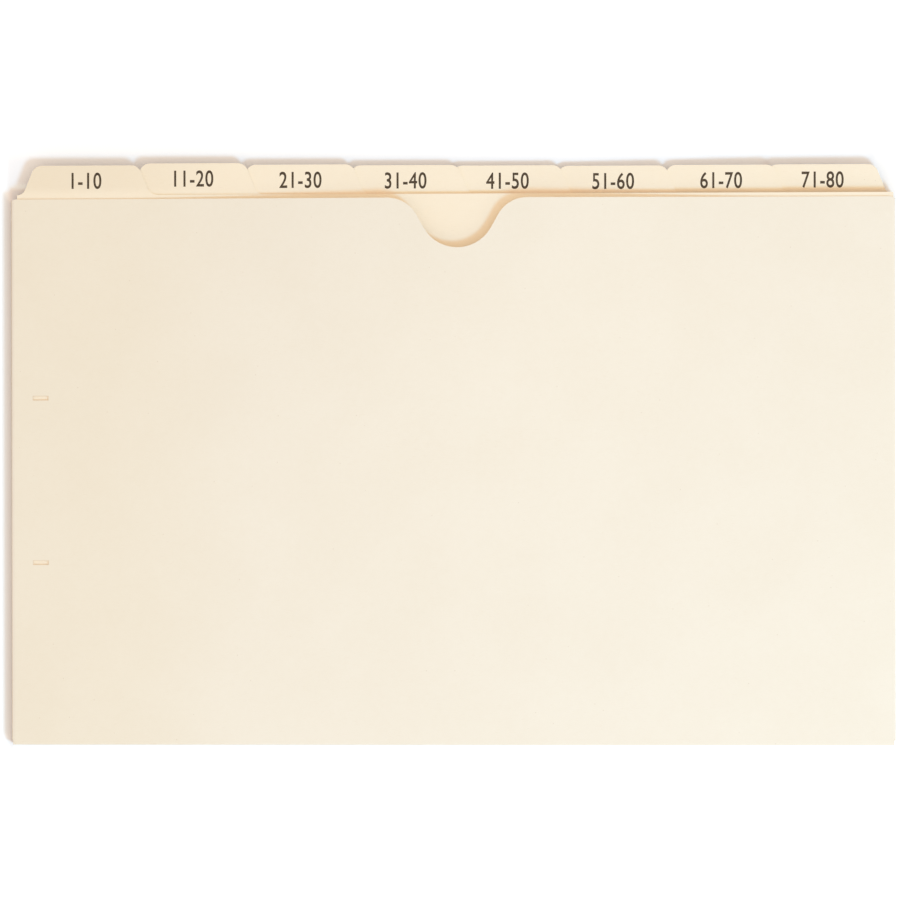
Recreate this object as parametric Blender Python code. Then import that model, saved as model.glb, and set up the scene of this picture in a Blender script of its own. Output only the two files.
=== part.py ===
"""Legal-size manila file jacket with eight tabbed dividers, lying on its back.

The jacket is one die-cut blank of card. It is laid out flat, scored along its creases and then folded
into a pocket: the front panel carries the thumb cut and the two prong slots, narrow walls turn down at
both sides and at the bottom, the side flaps turn in, and the back panel comes up over them from the
bottom and is glued to them. The top is open. The dividers stand loose in the pocket, with their tabs
stepping from left to right and from front to rear.

X runs along the width, Y up towards the tabs and Z from the back panel to the front panel. The origin is
the middle of the back panel's outer face. Sizes are in metres.
"""

import math

import bmesh
import bpy
from mathutils import Matrix, Vector

MM = 0.001

# Card, glue and clearances
JACKET_STOCK = 0.28 * MM
DIVIDER_STOCK = 0.356 * MM
SHEET_GAP = 0.30 * MM
GLUE_FILM = 0.10 * MM
GLUE_GAP = 0.10 * MM

# Jacket pocket
JACKET_WIDTH = 374.65 * MM
JACKET_HEIGHT = 231.6 * MM
CREASE_RADIUS = 0.45 * MM
CORNER_RELIEF = 1.5 * MM

# Mouth of the pocket, where the front panel bows away from the dividers
MOUTH_RISE = 4.7 * MM
MOUTH_SPAN = 340 * MM
MOUTH_DEPTH = 180 * MM
MOUTH_CORNER = 1.2 * MM

# Thumb cut, a rounded V in the mouth edge
THUMB_DEPTH = 21.1 * MM
THUMB_RADIUS = 16.3 * MM
THUMB_LIP_RADIUS = 14 * MM
THUMB_FLANK = math.radians(61)
THUMB_OFFSET = 2.8 * MM

# Slots for a two-prong fastener
SLOT_LENGTH = 6.35 * MM
SLOT_WIDTH = 1.6 * MM
SLOT_SPACING = 69.85 * MM
SLOT_INSET = 12.6 * MM
SLOT_HEIGHT = 112.2 * MM

# Side flaps, the seams that hold them and the back panel
FLAP_WIDTH = 16 * MM
FLAP_TAPER = 9 * MM
FLAP_CORNER_RADIUS = 3 * MM
SEAM_WIDTH = 10 * MM
SEAM_END_MARGIN = 14 * MM
BACK_INSET = 1.0 * MM
BACK_FOOT_TAPER = 6 * MM
BACK_CORNER_RADIUS = 3 * MM

# Dividers, with the first one's values in front. Each loose sheet has settled a little lower than the first.
DIVIDER_SETTLING = [0, -0.1 * MM, -0.1 * MM, -0.3 * MM, -0.55 * MM, -0.8 * MM, -0.6 * MM, -0.5 * MM]
DIVIDER_SIDE_PLAY = 2.6 * MM
DIVIDER_FOOT_GAP = 5.0 * MM
SHOULDER_REVEAL = 1.8 * MM

# Divider tabs. The steps between them are even but for what each tab was cut off its place.
TAB_HEIGHTS = [12.5 * MM, 13.4 * MM, 12.7 * MM] + [12.5 * MM] * 5
TAB_SHIFTS = [0.2 * MM, 1.2 * MM, 1.9 * MM, 1.9 * MM, 0.4 * MM, 0.5 * MM, 1.5 * MM, -0.3 * MM]
TAB_BASE_WIDTH = 54.3 * MM
TAB_FLANK = math.radians(68)
TAB_CORNER_RADIUS = 4.6 * MM
TAB_FILLET_RADIUS = 5.0 * MM
TAB_END_MARGIN = 2.3 * MM

# How finely round stretches, creases and the bowed mouth are divided
ARC_STEP = math.radians(9)
ARC_ROOM = 0.98
SCORE_TOLERANCE = 0.001 * MM
CREASE_STEPS = 3
MOUTH_STEPS_ACROSS = 26
MOUTH_STEPS_DOWN = 9
SMOOTH_ANGLE = math.radians(35)

# Colours and roughness
JACKET_MANILA = (0.87, 0.78, 0.62, 1)
DIVIDER_MANILA = (0.89, 0.77, 0.59, 1)
SEAM_PASTE = (0.80, 0.74, 0.60, 1)
JACKET_ROUGHNESS = 0.60
DIVIDER_ROUGHNESS = 0.62
PASTE_ROUGHNESS = 0.45

# Places that follow from the sizes above
top_edge = JACKET_HEIGHT / 2
bottom_edge = -JACKET_HEIGHT / 2
flat_half = JACKET_WIDTH / 2 - JACKET_STOCK / 2 - CREASE_RADIUS
flat_bottom = bottom_edge + JACKET_STOCK / 2 + CREASE_RADIUS
seam_gap = GLUE_FILM + 2 * GLUE_GAP
divider_pitch = DIVIDER_STOCK + SHEET_GAP
back_middle = JACKET_STOCK / 2
flap_middle = back_middle + JACKET_STOCK + seam_gap
rear_divider_middle = flap_middle + JACKET_STOCK / 2 + SHEET_GAP + DIVIDER_STOCK / 2
front_divider_middle = rear_divider_middle + (len(DIVIDER_SETTLING) - 1) * divider_pitch
front_middle = front_divider_middle + DIVIDER_STOCK / 2 + SHEET_GAP + JACKET_STOCK / 2
thumb_apex = THUMB_DEPTH + THUMB_RADIUS * (1 / math.cos(THUMB_FLANK) - 1)


def clear_scene():
    for item in list(bpy.data.objects):
        bpy.data.objects.remove(item, do_unlink=True)


def make_material(name, colour, roughness):
    material = bpy.data.materials.new(name)
    material.use_nodes = True
    shader = material.node_tree.nodes["Principled BSDF"]
    shader.inputs["Base Color"].default_value = colour
    shader.inputs["Roughness"].default_value = roughness
    shader.inputs["Metallic"].default_value = 0
    return material


def sides_at(corners, index):
    """The two sides of an outline that meet at a corner, as vectors away from it, and half their angle."""
    corner = Vector(corners[index][:2])
    to_before = Vector(corners[index - 1][:2]) - corner
    to_after = Vector(corners[(index + 1) % len(corners)][:2]) - corner
    return to_before, to_after, to_before.angle(to_after) / 2


def rounded_outline(corners):
    """Points of a closed outline from its corners (x, y, radius), with each round corner as an arc."""
    reaches = [
        radius / math.tan(sides_at(corners, index)[2]) if radius else 0
        for index, (_, _, radius) in enumerate(corners)
    ]
    points = []
    for index, (x, y, radius) in enumerate(corners):
        corner = Vector((x, y))
        if radius == 0:
            points.append(corner)
            continue
        to_before, to_after, half_angle = sides_at(corners, index)
        # Where two arcs don't both fit on the side between them, they share it.
        reach = reaches[index]
        reach_before = reach + reaches[index - 1]
        reach_after = reach + reaches[(index + 1) % len(corners)]
        room = min(to_before.length / reach_before, to_after.length / reach_after)
        tangent = reach * min(1, room * ARC_ROOM)
        start = corner + to_before.normalized() * tangent
        bisector = (to_before.normalized() + to_after.normalized()).normalized()
        centre = corner + bisector * (tangent / math.cos(half_angle))
        sweep = math.pi - 2 * half_angle
        if to_before.cross(to_after) > 0:
            sweep = -sweep
        steps = max(2, math.ceil(abs(sweep) / ARC_STEP))
        for step in range(steps + 1):
            points.append(centre + Matrix.Rotation(sweep * step / steps, 2) @ (start - centre))
    return points


def cut_card(outlines):
    """A flat sheet in the XY plane, bounded by the first outline and open inside the others."""
    sheet = bmesh.new()
    for outline in outlines:
        corners = [sheet.verts.new((point[0], point[1], 0)) for point in outline]
        for index, corner in enumerate(corners):
            sheet.edges.new((corners[index - 1], corner))
    bmesh.ops.triangle_fill(sheet, use_beauty=True, edges=sheet.edges[:], normal=(0, 0, 1))
    return sheet


def score_line(sheet, faces, point, across):
    """Split the given faces along the line through a point, square to the direction across."""
    edges = {edge for face in faces for edge in face.edges}
    corners = {corner for face in faces for corner in face.verts}
    bmesh.ops.bisect_plane(
        sheet,
        geom=[*corners, *edges, *faces],
        dist=SCORE_TOLERANCE,
        plane_co=(*point, 0),
        plane_no=(*across, 0),
    )


def add_card_object(name, sheet, stock, material, origin=(0, 0, 0)):
    """A named object from a sheet's middle surface, thickened to the card's stock."""
    mesh = bpy.data.meshes.new(name)
    sheet.to_mesh(mesh)
    sheet.free()
    mesh.materials.append(material)
    card = bpy.data.objects.new(name, mesh)
    card.location = origin
    bpy.context.collection.objects.link(card)
    thickness = card.modifiers.new("Stock", "SOLIDIFY")
    thickness.thickness = stock
    thickness.offset = 0
    thickness.use_even_offset = True
    with bpy.context.temp_override(object=card):
        bpy.ops.object.modifier_apply(modifier=thickness.name)
    mesh.shade_smooth()
    mesh.set_sharp_from_angle(angle=SMOOTH_ANGLE)
    return card


def fold_lines(drop):
    """How far past a panel's edge the blank is scored for the two creases of a wall of this drop."""
    bend = CREASE_RADIUS * math.pi / 2
    second_crease = bend + drop - 2 * CREASE_RADIUS
    steps = [bend * step / CREASE_STEPS for step in range(CREASE_STEPS + 1)]
    return steps + [second_crease + step for step in steps]


def folded(distance, drop):
    """Where a point that lies this far past a panel's edge ends up: how far outward, and how far down."""
    bend = CREASE_RADIUS * math.pi / 2
    wall = drop - 2 * CREASE_RADIUS
    if distance <= 0:
        return distance, 0
    if distance <= bend:
        angle = distance / CREASE_RADIUS
        return CREASE_RADIUS * math.sin(angle), CREASE_RADIUS * (1 - math.cos(angle))
    if distance <= bend + wall:
        return CREASE_RADIUS, CREASE_RADIUS + distance - bend
    if distance <= 2 * bend + wall:
        angle = (distance - bend - wall) / CREASE_RADIUS
        return CREASE_RADIUS * math.cos(angle), CREASE_RADIUS + wall + CREASE_RADIUS * math.sin(angle)
    return 2 * bend + wall - distance, drop


def mouth_bow(x, y):
    """How far the front panel stands off its flat plane, most at the middle of the mouth."""
    below = top_edge - y
    if abs(x) >= MOUTH_SPAN / 2 or below >= MOUTH_DEPTH:
        return 0
    across = math.cos(math.pi * x / MOUTH_SPAN) ** 3
    down = (1 + math.cos(math.pi * below / MOUTH_DEPTH)) / 2
    return MOUTH_RISE * across * down


def jacket_blank(side_fold, bottom_fold):
    """The die-cut blank, flat: front panel in the middle, flaps at its sides, back panel below it."""
    wall_end = flat_half + side_fold
    flap_end = wall_end + FLAP_WIDTH
    back_half = flat_half - BACK_INSET
    back_foot = flat_bottom - bottom_fold
    back_end = back_foot - (top_edge - flat_bottom)
    relief = flat_bottom + CORNER_RELIEF
    thumb_half = thumb_apex / math.tan(THUMB_FLANK)
    right_side = [
        (flat_half - MOUTH_CORNER, top_edge, FLAP_CORNER_RADIUS),
        (flap_end, top_edge - FLAP_TAPER, FLAP_CORNER_RADIUS),
        (flap_end, relief + FLAP_TAPER, FLAP_CORNER_RADIUS),
        (wall_end, relief, 0),
        (flat_half, relief, 0),
        (flat_half, back_foot, 0),
        (back_half, back_foot - BACK_FOOT_TAPER, 0),
        (back_half, back_end, BACK_CORNER_RADIUS),
    ]
    left_side = [(-x, y, radius) for x, y, radius in reversed(right_side)]
    thumb_cut = [
        (THUMB_OFFSET - thumb_half, top_edge, THUMB_LIP_RADIUS),
        (THUMB_OFFSET, top_edge - thumb_apex, THUMB_RADIUS),
        (THUMB_OFFSET + thumb_half, top_edge, THUMB_LIP_RADIUS),
    ]
    outline = rounded_outline(thumb_cut + right_side + left_side)
    slot_x = SLOT_INSET - JACKET_WIDTH / 2
    slots = []
    for half_way in (-SLOT_SPACING / 2, SLOT_SPACING / 2):
        slot_y = bottom_edge + SLOT_HEIGHT + half_way
        left, right = slot_x - SLOT_LENGTH / 2, slot_x + SLOT_LENGTH / 2
        low, high = slot_y - SLOT_WIDTH / 2, slot_y + SLOT_WIDTH / 2
        slots.append([(left, low), (right, low), (right, high), (left, high)])
    return cut_card([outline, *slots])


def score_mouth(blank):
    """Divide the front panel where it will bow, so that the bow is smooth."""
    low = top_edge - MOUTH_DEPTH
    for step in range(MOUTH_STEPS_ACROSS + 1):
        x = MOUTH_SPAN * (step / MOUTH_STEPS_ACROSS - 0.5)
        panel = [face for face in blank.faces if face.calc_center_median().y > flat_bottom]
        score_line(blank, panel, (x, 0), (1, 0))
    for step in range(MOUTH_STEPS_DOWN):
        y = low + MOUTH_DEPTH * step / MOUTH_STEPS_DOWN
        panel = [face for face in blank.faces if abs(face.calc_center_median().x) < MOUTH_SPAN / 2]
        score_line(blank, panel, (0, y), (0, 1))


def make_jacket(material):
    side_drop = front_middle - flap_middle
    bottom_drop = front_middle - back_middle
    side_lines = fold_lines(side_drop)
    bottom_lines = fold_lines(bottom_drop)
    blank = jacket_blank(side_lines[-1], bottom_lines[-1])
    for distance in side_lines:
        for side in (-1, 1):
            score_line(blank, blank.faces[:], (side * (flat_half + distance), 0), (1, 0))
    for distance in bottom_lines:
        score_line(blank, blank.faces[:], (0, flat_bottom - distance), (0, 1))
    score_mouth(blank)
    bmesh.ops.triangulate(blank, faces=blank.faces[:])
    for corner in blank.verts:
        x, y, _ = corner.co
        side_out, side_down = folded(abs(x) - flat_half, side_drop)
        bottom_out, bottom_down = folded(flat_bottom - y, bottom_drop)
        on_front = side_down == 0 and bottom_down == 0
        bow = mouth_bow(x, y) if on_front else 0
        corner.co = (
            math.copysign(flat_half + side_out, x),
            flat_bottom - bottom_out,
            front_middle - side_down - bottom_down + bow,
        )
    return add_card_object("jacket", blank, JACKET_STOCK, material)


def make_seam_glue(name, side, jacket, material):
    """The film of paste between a side flap and the back panel."""
    centre_x = side * (flat_half - FLAP_WIDTH / 2)
    low = flat_bottom + SEAM_END_MARGIN
    high = top_edge - SEAM_END_MARGIN
    half = SEAM_WIDTH / 2
    film = cut_card([[(-half, low), (half, low), (half, high), (-half, high)]])
    middle = (back_middle + flap_middle) / 2
    glue = add_card_object(name, film, GLUE_FILM, material, (centre_x, 0, middle))
    glue.parent = jacket


def make_divider(number, jacket, material):
    """One sheet with its tab. Number 1 is the front sheet, with the tab at the left."""
    width = JACKET_WIDTH - 2 * JACKET_STOCK - DIVIDER_SIDE_PLAY
    shoulder = JACKET_HEIGHT + SHOULDER_REVEAL - DIVIDER_FOOT_GAP
    tab_top = shoulder + TAB_HEIGHTS[number - 1]
    flank_run = TAB_HEIGHTS[number - 1] / math.tan(TAB_FLANK)
    tab_step = (width - 2 * TAB_END_MARGIN - TAB_BASE_WIDTH) / (len(DIVIDER_SETTLING) - 1)
    tab_inset = TAB_END_MARGIN + (number - 1) * tab_step + TAB_SHIFTS[number - 1]
    base_left = tab_inset - width / 2
    base_right = base_left + TAB_BASE_WIDTH
    outline = rounded_outline([
        (-width / 2, 0, 0),
        (width / 2, 0, 0),
        (width / 2, shoulder, 0),
        (base_right, shoulder, TAB_FILLET_RADIUS),
        (base_right - flank_run, tab_top, TAB_CORNER_RADIUS),
        (base_left + flank_run, tab_top, TAB_CORNER_RADIUS),
        (base_left, shoulder, TAB_FILLET_RADIUS),
        (-width / 2, shoulder, 0),
    ])
    # The stack has been pushed over against the right wall.
    centre_x = JACKET_WIDTH / 2 - JACKET_STOCK - SHEET_GAP - width / 2
    foot = bottom_edge + DIVIDER_FOOT_GAP + DIVIDER_SETTLING[number - 1]
    middle = front_divider_middle - (number - 1) * divider_pitch
    sheet = cut_card([outline])
    divider = add_card_object(
        f"divider_{number}", sheet, DIVIDER_STOCK, material, (centre_x, foot, middle)
    )
    divider.parent = jacket


def main():
    clear_scene()
    jacket_card = make_material("jacket_manila", JACKET_MANILA, JACKET_ROUGHNESS)
    divider_card = make_material("divider_manila", DIVIDER_MANILA, DIVIDER_ROUGHNESS)
    seam_paste = make_material("seam_paste", SEAM_PASTE, PASTE_ROUGHNESS)
    jacket = make_jacket(jacket_card)
    make_seam_glue("left_seam_glue", -1, jacket, seam_paste)
    make_seam_glue("right_seam_glue", 1, jacket, seam_paste)
    for number in range(1, len(DIVIDER_SETTLING) + 1):
        make_divider(number, jacket, divider_card)


main()
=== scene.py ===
import math

import bpy
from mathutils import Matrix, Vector


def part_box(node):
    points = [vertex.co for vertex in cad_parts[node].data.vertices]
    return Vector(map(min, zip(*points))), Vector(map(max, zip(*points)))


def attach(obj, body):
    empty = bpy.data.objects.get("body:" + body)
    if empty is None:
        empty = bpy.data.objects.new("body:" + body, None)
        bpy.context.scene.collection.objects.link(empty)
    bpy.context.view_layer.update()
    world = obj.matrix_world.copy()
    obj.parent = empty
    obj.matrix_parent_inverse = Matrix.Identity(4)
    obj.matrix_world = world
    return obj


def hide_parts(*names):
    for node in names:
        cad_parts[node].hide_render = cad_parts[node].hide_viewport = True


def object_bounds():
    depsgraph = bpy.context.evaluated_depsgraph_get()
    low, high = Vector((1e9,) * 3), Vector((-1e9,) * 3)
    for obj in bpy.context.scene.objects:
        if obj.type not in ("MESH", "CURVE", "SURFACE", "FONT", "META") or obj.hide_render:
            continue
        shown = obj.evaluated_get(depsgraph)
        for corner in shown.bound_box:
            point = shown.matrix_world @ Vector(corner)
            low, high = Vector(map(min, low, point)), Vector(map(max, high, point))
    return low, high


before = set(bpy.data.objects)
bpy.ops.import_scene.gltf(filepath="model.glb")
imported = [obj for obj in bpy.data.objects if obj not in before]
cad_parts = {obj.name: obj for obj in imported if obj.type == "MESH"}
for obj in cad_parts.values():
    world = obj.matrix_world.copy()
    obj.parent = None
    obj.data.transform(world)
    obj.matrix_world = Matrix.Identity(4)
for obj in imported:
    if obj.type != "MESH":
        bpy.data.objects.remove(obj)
cadLow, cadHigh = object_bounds()
mm = 0.001
print("frame loaded:", len(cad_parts), "solids")


# Small helpers

def pickOnly(piece):
    bpy.ops.object.select_all(action="DESELECT")
    piece.select_set(True)
    bpy.context.view_layer.objects.active = piece


def applyModifier(piece, kind, **settings):
    modifier = piece.modifiers.new(kind.title(), kind)
    for name, value in settings.items():
        setattr(modifier, name, value)
    pickOnly(piece)
    bpy.ops.object.modifier_apply(modifier=modifier.name)


def dress(piece, material):
    piece.data.materials.clear()
    piece.data.materials.append(material)


def startMaterial(name):
    material = bpy.data.materials.new(name)
    material.use_nodes = True
    return material, material.node_tree, material.node_tree.nodes["Principled BSDF"]


def addNode(tree, kind, place, **settings):
    node = tree.nodes.new("ShaderNode" + kind)
    node.location = place
    for name, value in settings.items():
        setattr(node, name, value)
    return node


def setInputs(node, values):
    for name, value in values.items():
        node.inputs[name].default_value = value


def feed(tree, socket, value):
    # a link from another node, or else a plain value
    if isinstance(value, bpy.types.NodeSocket):
        tree.links.new(value, socket)
    else:
        socket.default_value = value


def maths(tree, place, operation, *values):
    node = addNode(tree, "Math", place, operation=operation)
    for socket, value in zip(node.inputs, values):
        feed(tree, socket, value)
    return node.outputs[0]


def mixColours(tree, place, factor, first, second, blend="MIX"):
    mix = addNode(tree, "Mix", place, data_type="RGBA", blend_type=blend)
    for slot, value in ((0, factor), (6, first), (7, second)):
        feed(tree, mix.inputs[slot], value)
    return mix.outputs[2]


def rampOf(tree, place, source, low, high):
    # a soft threshold: 0 at low, 1 at high
    ramp = addNode(tree, "MapRange", place, interpolation_type="SMOOTHSTEP", clamp=True)
    setInputs(ramp, {"From Min": low, "From Max": high, "To Min": 0.0, "To Max": 1.0})
    tree.links.new(source, ramp.inputs["Value"])
    return ramp.outputs["Result"]


def objectAxes(tree, place):
    where = addNode(tree, "TexCoord", place)
    axes = addNode(tree, "SeparateXYZ", (place[0] + 180, place[1]))
    tree.links.new(where.outputs["Object"], axes.inputs["Vector"])
    return axes.outputs


def seenRays(tree, place):
    # 1 for rays that show a surface to the camera, straight, mirrored or through glass
    rays = addNode(tree, "LightPath", place)
    seen = rays.outputs["Is Camera Ray"]
    for step, kind in enumerate(("Is Glossy Ray", "Is Transmission Ray"), start=1):
        beside = (place[0] + 180 * step, place[1])
        seen = maths(tree, beside, "MAXIMUM", seen, rays.outputs[kind])
    return seen


# Manila card: cloudy stock with short fibres and a few specks, and a fine tooth

jacketCard = {
    "name": "jacketManila",
    "card": (0.882, 0.808, 0.676, 1),
    "thin": (0.900, 0.832, 0.707, 1),      # where the stock is paler
    "fibre": (0.780, 0.650, 0.470, 1),
    "speck": (0.560, 0.430, 0.290, 1),
    "rough": (0.50, 0.64),
    "turn": (0.0, 0.0, 0.0),               # of the cloudy pattern
    "leftShade": (0.985, 0.972, 0.940, 1),     # painted shade: the left end is a little darker, as the light falls off away from the lamp
    "leftShadeAbove": -130 * mm,
    "through": (0.88, 0.64, 0.49, 1),      # light that passes each face of the front panel
    "throughRest": (0, 0, 0, 1),           # and of the rest of the card
    "singleSheet": ("Z", 6.30 * mm, 6.35 * mm),    # from the rest to the front panel
}

dividerCard = {
    "name": "dividerManila",
    "card": (0.952, 0.840, 0.655, 1),
    "thin": (0.962, 0.860, 0.686, 1),
    "fibre": (0.790, 0.640, 0.440, 1),
    "speck": (0.560, 0.430, 0.290, 1),
    "rough": (0.52, 0.66),
    "turn": (0.0, 0.0, 0.6),
    "leftShade": (0.930, 0.915, 0.895, 1),     # painted shade on the left tabs alone, darker away from the lamp
    "leftShadeAbove": 116.5 * mm,
    "through": (0.90, 0.75, 0.60, 1),      # the sheet
    "throughRest": (0.63, 0.49, 0.39, 1),  # its tab
    "singleSheet": ("Y", 119.5 * mm, 118.5 * mm),  # from the tab to the sheet
}

stock = {
    "cloudSize": 38 * mm,
    "cloudRange": (0.30, 0.70),
    "cloudShare": 0.6,
    "formationSize": 2.6 * mm,
    "formationRange": (0.25, 0.75),
    "formationShare": 0.4,
    "noiseRoughness": 0.55,
    "fibreLength": 2.4 * mm,
    "fibreSlim": 9.0,            # how many times longer than wide
    "fibreLie": (0.5, -0.9),     # the two angles that they lie at
    "fibreRange": (0.63, 0.74),
    "fibreDepth": 0.16,
    "speckSpacing": 7 * mm,
    "speckRange": (0.045, 0.02),
    "speckDepth": 0.30,
    "toothSize": 0.35 * mm,
    "toothHeight": 0.012 * mm,
    "waveSize": 70 * mm,
    "waveHeight": 0.16 * mm,
    "leftShadeFrom": -75 * mm,
    "leftShadeTo": -155 * mm,
    "leftShadeEdge": 5 * mm,
    "specular": 0.35,
}


def tintCard(tree, place, factor, tint):
    base = tree.nodes["Principled BSDF"].inputs["Base Color"]
    tinted = mixColours(tree, place, factor, base.links[0].from_socket, tint, blend="MULTIPLY")
    tree.links.new(tinted, base)


def manilaCard(card):
    material, tree, shader = startMaterial(card["name"])
    link = tree.links.new
    where = addNode(tree, "TexCoord", (-1500, 0)).outputs["Object"]
    turned = addNode(tree, "Mapping", (-1320, 0))
    turned.inputs["Rotation"].default_value = card["turn"]
    link(where, turned.inputs["Vector"])
    plain = turned.outputs["Vector"]

    def noise(place, size, detail, vector=plain):
        texture = addNode(tree, "TexNoise", place)
        setInputs(texture, {"Scale": 1 / size, "Detail": detail})
        texture.inputs["Roughness"].default_value = stock["noiseRoughness"]
        link(vector, texture.inputs["Vector"])
        return texture.outputs["Fac"]

    cloud = noise((-1080, 420), stock["cloudSize"], detail=3.0)
    formation = noise((-1080, 200), stock["formationSize"], detail=5.0)
    tooth = noise((-1080, -520), stock["toothSize"], detail=2.0)
    wave = noise((-1080, -740), stock["waveSize"], detail=1.0)

    # fibres lie both ways, so two stretched noises are cut off near their tops
    fibres = []
    for side, angle in enumerate(stock["fibreLie"]):
        lie = addNode(tree, "Mapping", (-1320, -200 - 300 * side))
        setInputs(lie, {"Rotation": (0, 0, angle), "Scale": (1, stock["fibreSlim"], 1)})
        link(where, lie.inputs["Vector"])
        height = -20 - 240 * side
        streak = noise((-1080, height), stock["fibreLength"], 2.0, lie.outputs["Vector"])
        fibres.append(rampOf(tree, (-860, height), streak, *stock["fibreRange"]))
    fibre = maths(tree, (-660, -100), "MAXIMUM", *fibres)

    dots = addNode(tree, "TexVoronoi", (-1080, 640))
    setInputs(dots, {"Scale": 1 / stock["speckSpacing"], "Randomness": 1.0})
    link(plain, dots.inputs["Vector"])
    speck = rampOf(tree, (-860, 640), dots.outputs["Distance"], *stock["speckRange"])

    patch = rampOf(tree, (-860, 420), cloud, *stock["cloudRange"])
    grain = rampOf(tree, (-860, 200), formation, *stock["formationRange"])
    grain = maths(tree, (-660, 180), "MULTIPLY", grain, stock["formationShare"])
    pale = maths(tree, (-660, 320), "MULTIPLY_ADD", patch, stock["cloudShare"], grain)
    colour = mixColours(tree, (-440, 320), pale, card["card"], card["thin"])
    fibreShade = maths(tree, (-440, 80), "MULTIPLY", fibre, stock["fibreDepth"])
    colour = mixColours(tree, (-240, 260), fibreShade, colour, card["fibre"])
    speckShade = maths(tree, (-440, 560), "MULTIPLY", speck, stock["speckDepth"])
    colour = mixColours(tree, (-40, 300), speckShade, colour, card["speck"])
    link(colour, shader.inputs["Base Color"])

    # painted shade: the card is darker towards its left end, away from the lamp
    axes = objectAxes(tree, (-600, 800))
    leftEnd = rampOf(tree, (-240, 900), axes["X"], stock["leftShadeFrom"], stock["leftShadeTo"])
    low = card["leftShadeAbove"]
    above = rampOf(tree, (-240, 700), axes["Y"], low, low + stock["leftShadeEdge"])
    paintedLeftShade = maths(tree, (-40, 800), "MULTIPLY", leftEnd, above)
    tintCard(tree, (140, 400), paintedLeftShade, card["leftShade"])

    rough = addNode(tree, "MapRange", (-440, -60))
    setInputs(rough, dict(zip(("To Min", "To Max"), card["rough"])))
    link(formation, rough.inputs["Value"])
    link(rough.outputs["Result"], shader.inputs["Roughness"])

    rolling = addNode(tree, "Bump", (-440, -740))
    setInputs(rolling, {"Strength": 1.0, "Distance": stock["waveHeight"]})
    link(wave, rolling.inputs["Height"])
    toothy = addNode(tree, "Bump", (-240, -520))
    setInputs(toothy, {"Strength": 1.0, "Distance": stock["toothHeight"]})
    link(tooth, toothy.inputs["Height"])
    link(rolling.outputs["Normal"], toothy.inputs["Normal"])
    link(toothy.outputs["Normal"], shader.inputs["Normal"])
    setInputs(shader, {"Metallic": 0.0, "Specular IOR Level": stock["specular"]})
    return material


slotRim = {
    "middle": (-174.725 * mm, -3.6 * mm),
    "spacing": 69.85 * mm,
    "half": (3.175 * mm, 0.8 * mm),
    "width": 0.28 * mm,
    "full": 0.6,                           # share of the width that has the whole tint
    "panel": (6.3 * mm, 6.4 * mm),         # only the front panel is punched
    "rimShade": (0.92, 0.85, 0.79, 1),
}


def shadeSlotRims(material):
    # painted shade: a darker line round each prong slot, for the shade at its cut edges
    tree = material.node_tree

    def distanceFrom(place, source, point):
        away = maths(tree, place, "SUBTRACT", source, point)
        return maths(tree, (place[0] + 160, place[1]), "ABSOLUTE", away)

    axes = objectAxes(tree, (-500, 1100))
    across = distanceFrom((-120, 1200), axes["X"], slotRim["middle"][0])
    along = distanceFrom((-120, 1000), axes["Y"], slotRim["middle"][1])
    along = distanceFrom((240, 1000), along, slotRim["spacing"] / 2)
    rim = rampOf(tree, (420, 800), axes["Z"], *slotRim["panel"])
    for step, (source, half) in enumerate(zip((across, along), slotRim["half"])):
        height = 1200 - 200 * step
        outer = half + slotRim["width"]
        inner = half + slotRim["width"] * slotRim["full"]
        near = rampOf(tree, (600, height), source, outer, inner)
        rim = maths(tree, (780, height), "MULTIPLY", rim, near)
    tintCard(tree, (980, 900), rim, slotRim["rimShade"])


leftFoldShade = {"from": -185.4 * mm, "to": -186.8 * mm, "foldShade": (0.955, 0.935, 0.955, 1)}


def shadeLeftFold(material):
    # painted shade: the left fold is darker, as it turns away from the lamp
    tree = material.node_tree
    axes = objectAxes(tree, (-500, 1500))
    edge = rampOf(tree, (-120, 1500), axes["X"], leftFoldShade["from"], leftFoldShade["to"])
    tintCard(tree, (1180, 900), edge, leftFoldShade["foldShade"])


def letLightThrough(material, card):
    # some warm light falls through a single sheet, such as the front panel over the mouth
    tree = material.node_tree
    link = tree.links.new
    output = tree.nodes["Material Output"]
    output.location = (860, 200)
    axis, rest, single = card["singleSheet"]
    share = rampOf(tree, (280, -800), objectAxes(tree, (-60, -800))[axis], rest, single)
    passed = mixColours(tree, (460, -600), share, card["throughRest"], card["through"])
    through = addNode(tree, "BsdfTransparent", (620, -500))
    link(passed, through.inputs["Color"])
    rays = addNode(tree, "LightPath", (460, 500))
    thin = addNode(tree, "MixShader", (660, 200))
    link(rays.outputs["Is Shadow Ray"], thin.inputs["Fac"])
    link(tree.nodes["Principled BSDF"].outputs["BSDF"], thin.inputs[1])
    link(through.outputs["BSDF"], thin.inputs[2])
    link(thin.outputs["Shader"], output.inputs["Surface"])


jacketManila = manilaCard(jacketCard)
shadeSlotRims(jacketManila)
shadeLeftFold(jacketManila)
letLightThrough(jacketManila, jacketCard)
dividerManila = manilaCard(dividerCard)
letLightThrough(dividerManila, dividerCard)
dividers = [f"divider_{number}" for number in range(1, 9)]
for divider in dividers:
    dress(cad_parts[divider], dividerManila)
print("card materials made")


# Paste in the side seams, which only shows from inside the mouth, and ink for the tabs

pasteLook = {
    "name": "seamPaste",
    "plain": (0.80, 0.74, 0.60, 1),
    "patch": (0.70, 0.62, 0.46, 1),        # where it lies thicker
    "patchSize": 6 * mm,
    "patchRange": (0.35, 0.65),
    "rough": 0.45,
    "specular": 0.5,
}

inkLook = {
    "name": "tabInk",
    "plain": (0.058, 0.036, 0.018, 1),
    "patch": (0.100, 0.066, 0.034, 1),     # where it is thinner
    "patchSize": 0.8 * mm,
    "patchRange": (0.40, 0.70),
    "rough": 0.55,
    "specular": 0.3,
}


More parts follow.
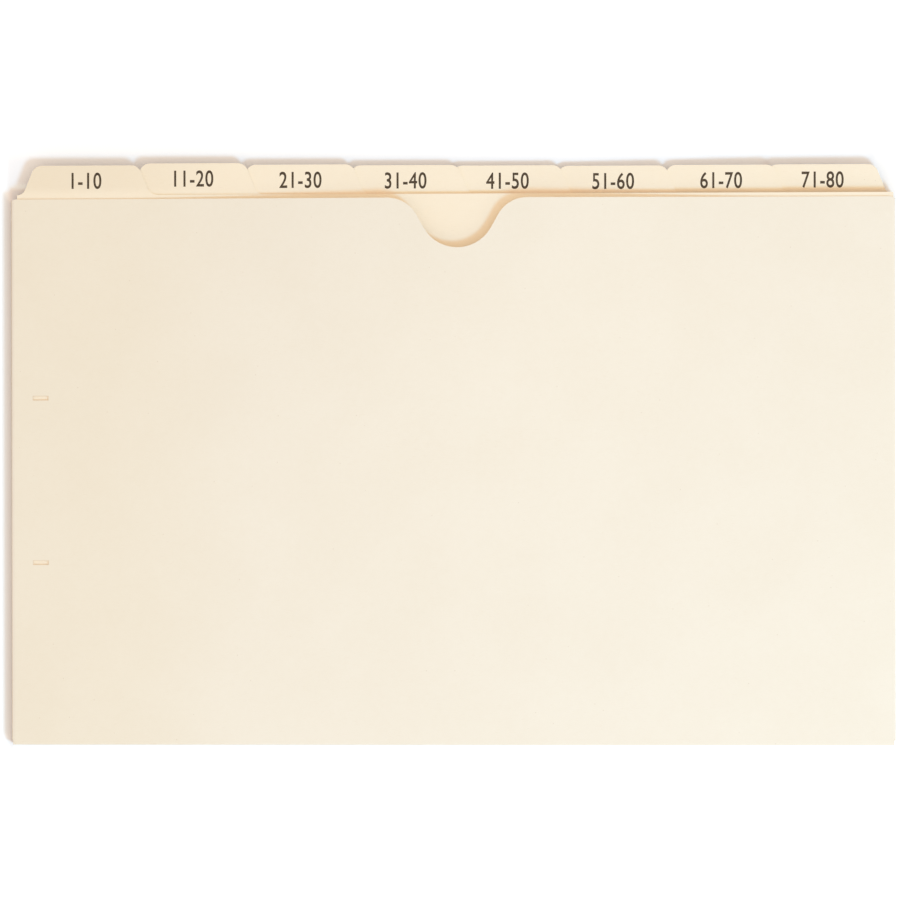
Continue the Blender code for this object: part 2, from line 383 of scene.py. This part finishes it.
def patchyFilm(look):
    material, tree, shader = startMaterial(look["name"])
    where = addNode(tree, "TexCoord", (-800, 0))
    noise = addNode(tree, "TexNoise", (-600, 0))
    setInputs(noise, {"Scale": 1 / look["patchSize"], "Detail": 3.0})
    tree.links.new(where.outputs["Object"], noise.inputs["Vector"])
    patches = rampOf(tree, (-400, 0), noise.outputs["Fac"], *look["patchRange"])
    colour = mixColours(tree, (-200, 0), patches, look["plain"], look["patch"])
    tree.links.new(colour, shader.inputs["Base Color"])
    setInputs(shader, {"Roughness": look["rough"], "Specular IOR Level": look["specular"]})
    return material


paste = patchyFilm(pasteLook)
ink = patchyFilm(inkLook)
for seam in ("left_seam_glue", "right_seam_glue"):
    dress(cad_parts[seam], paste)
print("paste and ink made")


# The jacket: the folded blank with its facets run together into one smooth sheet

jacketSheet = {
    "merge": 0.002 * mm,
    "flatAngle": math.radians(0.02),
    "smoothAngle": math.radians(40),
    "largeFaces": 80,      # how much they lead the shading
}


def smoothJacket():
    pickOnly(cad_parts["jacket"])
    bpy.ops.object.duplicate()
    sheet = bpy.context.object
    sheet.name = "jacketSheet"
    sheet.data.name = "jacketSheet"
    for key in [key for key in sheet.keys() if key.startswith("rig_")]:
        del sheet[key]      # the copy isn't a solid of the frame
    bpy.ops.mesh.customdata_custom_splitnormals_clear()
    bpy.ops.object.mode_set(mode="EDIT")
    bpy.ops.mesh.select_all(action="SELECT")
    bpy.ops.mesh.remove_doubles(threshold=jacketSheet["merge"])
    bpy.ops.mesh.dissolve_limited(angle_limit=jacketSheet["flatAngle"])
    bpy.ops.object.mode_set(mode="OBJECT")
    bpy.ops.object.shade_smooth_by_angle(angle=jacketSheet["smoothAngle"])
    applyModifier(sheet, "WEIGHTED_NORMAL", keep_sharp=True, weight=jacketSheet["largeFaces"])
    dress(sheet, jacketManila)
    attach(sheet, "jacket")
    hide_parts("jacket")
    return sheet


jacket = smoothJacket()
print("jacket smoothed:", len(jacket.data.polygons), "faces")


# A plain range of numbers printed on each tab

numerals = {
    "perTab": 10,
    "height": 7.0 * mm,
    "narrow": 0.76,             # width against the plain typeface
    "spacing": 1.08,
    "curveSteps": 8,
    "halfDeep": 0.5,            # as typed; the print is then pressed down to the film
    "merge": 0.0001,
    "bold": 0.012,              # added round each stroke
    "below": 6.5 * mm,          # from the tab's top edge to the middle of the print
    "topEdge": 1 * mm,          # the tab's corners that are this near its top
    "film": 0.02 * mm,
    "raised": 0.3,              # the film's middle above the card, against its thickness
}


def typeNumeral(number):
    last = number * numerals["perTab"]
    bpy.ops.object.select_all(action="DESELECT")
    bpy.ops.object.text_add(location=(0, 0, 0))
    numeral = bpy.context.object
    numeral.name = f"tabNumeral{number}"
    letters = numeral.data
    letters.body = f"{last - numerals['perTab'] + 1}-{last}"
    letters.align_x = "CENTER"
    letters.align_y = "CENTER"
    letters.space_character = numerals["spacing"]
    letters.extrude = numerals["halfDeep"]
    letters.resolution_u = numerals["curveSteps"]
    bpy.ops.object.convert(target="MESH")
    bpy.ops.object.mode_set(mode="EDIT")
    bpy.ops.mesh.select_all(action="SELECT")
    bpy.ops.mesh.remove_doubles(threshold=numerals["merge"])
    bpy.ops.mesh.normals_make_consistent(inside=False)
    bpy.ops.transform.shrink_fatten(value=numerals["bold"], use_even_offset=True)
    bpy.ops.object.mode_set(mode="OBJECT")
    for corner in numeral.data.vertices:
        corner.co.z = math.copysign(numerals["halfDeep"], corner.co.z)    # flat again
    numeral.data.update()
    bpy.context.view_layer.update()
    return numeral


def printNumeral(number, divider):
    numeral = typeNumeral(number)
    tall, deep = numeral.dimensions.yz
    low, high = Vector(numeral.bound_box[0]), Vector(numeral.bound_box[6])
    size = numerals["height"] / tall
    numeral.scale = (size * numerals["narrow"], size, numerals["film"] / deep)

    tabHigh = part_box(divider)[1]
    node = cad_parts[divider]
    corners = [node.matrix_world @ corner.co for corner in node.data.vertices]
    top = [corner.x for corner in corners if corner.y > tabHigh.y - numerals["topEdge"]]
    place = Vector((
        (min(top) + max(top)) / 2,
        tabHigh.y - numerals["below"],
        tabHigh.z + numerals["film"] * numerals["raised"],
    ))
    numeral.location = place - (low + high) / 2 * numeral.scale
    bpy.ops.object.transform_apply(location=True, rotation=True, scale=True)
    dress(numeral, ink)
    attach(numeral, divider)


for number, divider in enumerate(dividers, start=1):
    printNumeral(number, divider)
print("tabs numbered")


# Floor, light and camera

floorLook = {
    "size": 6.0,
    "drop": 0.2 * mm,
    "rough": 0.9,
    "white": 1.0,           # as the camera sees it
    "bounce": 0.50,         # as the light sees it
    "lift": (0.035, 0.043, 0.064, 1),       # light that the paper adds in the shadows
    "farLift": (0.135, 0.250, 0.340, 1),    # and far from the lamp, so that it stays white
    "far": (0.2, 0.9),
    "leftLift": (0.115, 0.175, 0.215, 1),   # painted light just past the shadow at the left, so that the shadow ends sooner
    "left": (-188.3 * mm, -191.8 * mm),
    "backLift": (0.125, 0.122, 0.115, 1),   # painted light past the shadows behind and at the right
    "back": (131.5 * mm, 137 * mm),
    "right": (176.5 * mm, 181 * mm),
    "fineHalf": 0.26,       # the middle is divided finely enough for the dip
    "fineCuts": 129,
    "dipDepth": 4.2 * mm,   # the paper sags behind the right-hand tabs
    "dipX": (20 * mm, 165 * mm, 172 * mm, 198 * mm),    # starts, full, still full, gone
    "dipY": (108 * mm, 127 * mm, 140 * mm, 220 * mm),
}


def eased(value, low, high):
    share = min(1, max(0, (value - low) / (high - low)))
    return share * share * (3 - 2 * share)


def dipShare(value, starts, full, stillFull, gone):
    return eased(value, starts, full) * (1 - eased(value, stillFull, gone))


def floorPaper():
    material, tree, shader = startMaterial("floorWhite")
    link = tree.links.new
    setInputs(shader, {"Roughness": floorLook["rough"], "Specular IOR Level": 0.0})
    where = addNode(tree, "TexCoord", (-800, -500))
    away = addNode(tree, "VectorMath", (-620, -500), operation="LENGTH")
    link(where.outputs["Object"], away.inputs[0])
    far = rampOf(tree, (-440, -500), away.outputs["Value"], *floorLook["far"])
    axes = objectAxes(tree, (-800, -700))
    # painted light on the floor where the shadows should end, at the left, behind and at the
    # right
    left = rampOf(tree, (-440, -700), axes["X"], *floorLook["left"])
    back = rampOf(tree, (-440, -900), axes["Y"], *floorLook["back"])
    right = rampOf(tree, (-440, -1100), axes["X"], *floorLook["right"])
    past = maths(tree, (-240, -1000), "MAXIMUM", back, right)
    lift = mixColours(tree, (-240, -800), past, floorLook["lift"], floorLook["backLift"])
    lift = mixColours(tree, (-240, -600), left, lift, floorLook["leftLift"])
    lift = mixColours(tree, (-40, -500), far, lift, floorLook["farLift"])
    link(lift, shader.inputs["Emission Color"])
    seen = seenRays(tree, (-800, -200))
    grey = addNode(tree, "MapRange", (-200, 100))
    setInputs(grey, {"To Min": floorLook["bounce"], "To Max": floorLook["white"]})
    link(seen, grey.inputs["Value"])
    link(grey.outputs["Result"], shader.inputs["Base Color"])
    link(seen, shader.inputs["Emission Strength"])
    return material


def layFloor():
    bpy.ops.object.select_all(action="DESELECT")
    level = cadLow.z - floorLook["drop"]
    bpy.ops.mesh.primitive_plane_add(size=floorLook["size"], location=(0, 0, level))
    floor = bpy.context.object
    floor.name = "floor"
    half = floorLook["fineHalf"]
    bpy.ops.object.mode_set(mode="EDIT")
    for way in (Vector((1, 0, 0)), Vector((0, 1, 0))):
        for side in (-half, half):
            bpy.ops.mesh.select_all(action="SELECT")
            bpy.ops.mesh.bisect(plane_co=way * side, plane_no=way)
    bpy.ops.mesh.select_all(action="DESELECT")
    bpy.ops.object.mode_set(mode="OBJECT")
    for face in floor.data.polygons:
        face.select = abs(face.center.x) < half and abs(face.center.y) < half
    bpy.ops.object.mode_set(mode="EDIT")
    bpy.ops.mesh.subdivide(number_cuts=floorLook["fineCuts"], quadcorner="INNERVERT")
    bpy.ops.object.mode_set(mode="OBJECT")
    for corner in floor.data.vertices:
        across = dipShare(corner.co.x, *floorLook["dipX"])
        along = dipShare(corner.co.y, *floorLook["dipY"])
        corner.co.z -= floorLook["dipDepth"] * across * along
    bpy.ops.object.shade_smooth()
    dress(floor, floorPaper())


layFloor()

light = {
    "key": (0.44, 0.74, 1.00),              # a cool lamp in a warm room, so that shadows are warm
    "keyPower": 16.0,
    "keyDistance": 1.7,
    "keySize": 0.40,
    "keyTowards": (0.54, -0.49, 1.0),
    "fill": (0.525, 0.43, 0.35, 1),
    "glow": (0.505, 0.43, 0.36, 1),         # the room is brighter on the lamp's side
    "glowTowards": (0.62, -0.46, 0.63),
    "glowRange": (-0.4, 1.0),
    "backdrop": (1, 1, 1, 1),
}


def lightScene():
    towards = Vector(light["keyTowards"]).normalized()
    bpy.ops.object.light_add(type="AREA", location=towards * light["keyDistance"])
    lamp = bpy.context.object
    lamp.name = "softbox"
    lamp.rotation_euler = towards.to_track_quat("Z", "Y").to_euler()
    lamp.data.shape = "DISK"
    lamp.data.size = light["keySize"]
    lamp.data.energy = light["keyPower"]
    lamp.data.color = light["key"]
    world = bpy.data.worlds.new("studio")
    bpy.context.scene.world = world
    world.use_nodes = True
    tree = world.node_tree
    link = tree.links.new
    fill = tree.nodes["Background"]
    where = addNode(tree, "TexCoord", (-1000, 0))
    facing = addNode(tree, "VectorMath", (-800, 0), operation="DOT_PRODUCT")
    facing.inputs[1].default_value = light["glowTowards"]
    link(where.outputs["Generated"], facing.inputs[0])
    side = rampOf(tree, (-600, 0), facing.outputs["Value"], *light["glowRange"])
    room = mixColours(tree, (-300, 0), side, light["fill"], light["glow"], blend="ADD")
    link(room, fill.inputs["Color"])
    seen = addNode(tree, "Background", (0, -200))
    seen.inputs["Color"].default_value = light["backdrop"]
    swap = addNode(tree, "MixShader", (200, 0))
    link(seenRays(tree, (-600, 300)), swap.inputs["Fac"])
    link(fill.outputs[0], swap.inputs[1])
    link(seen.outputs[0], swap.inputs[2])
    link(swap.outputs[0], tree.nodes["World Output"].inputs["Surface"])


lightScene()

shot = {
    "centre": (-0.65 * mm, 8.82 * mm, 6.69 * mm),
    "width": 380.88 * mm,
    "distance": 2.6,
    "yaw": math.radians(3.1),
    "roll": math.radians(-0.094),
    "sensor": 36,
    "clipEnd": 20,
}


def setCamera():
    yaw = shot["yaw"]
    offset = Vector((math.sin(yaw), 0, math.cos(yaw))) * shot["distance"]
    place = Vector(shot["centre"]) + offset
    bpy.ops.object.camera_add(location=place, rotation=(0, yaw, shot["roll"]))
    camera = bpy.context.object
    camera.data.sensor_width = shot["sensor"]
    camera.data.lens = shot["sensor"] * shot["distance"] / shot["width"]
    camera.data.clip_end = shot["clipEnd"]
    bpy.context.scene.camera = camera


setCamera()
bpy.context.scene.view_settings.view_transform = "Standard"
print("stage set")
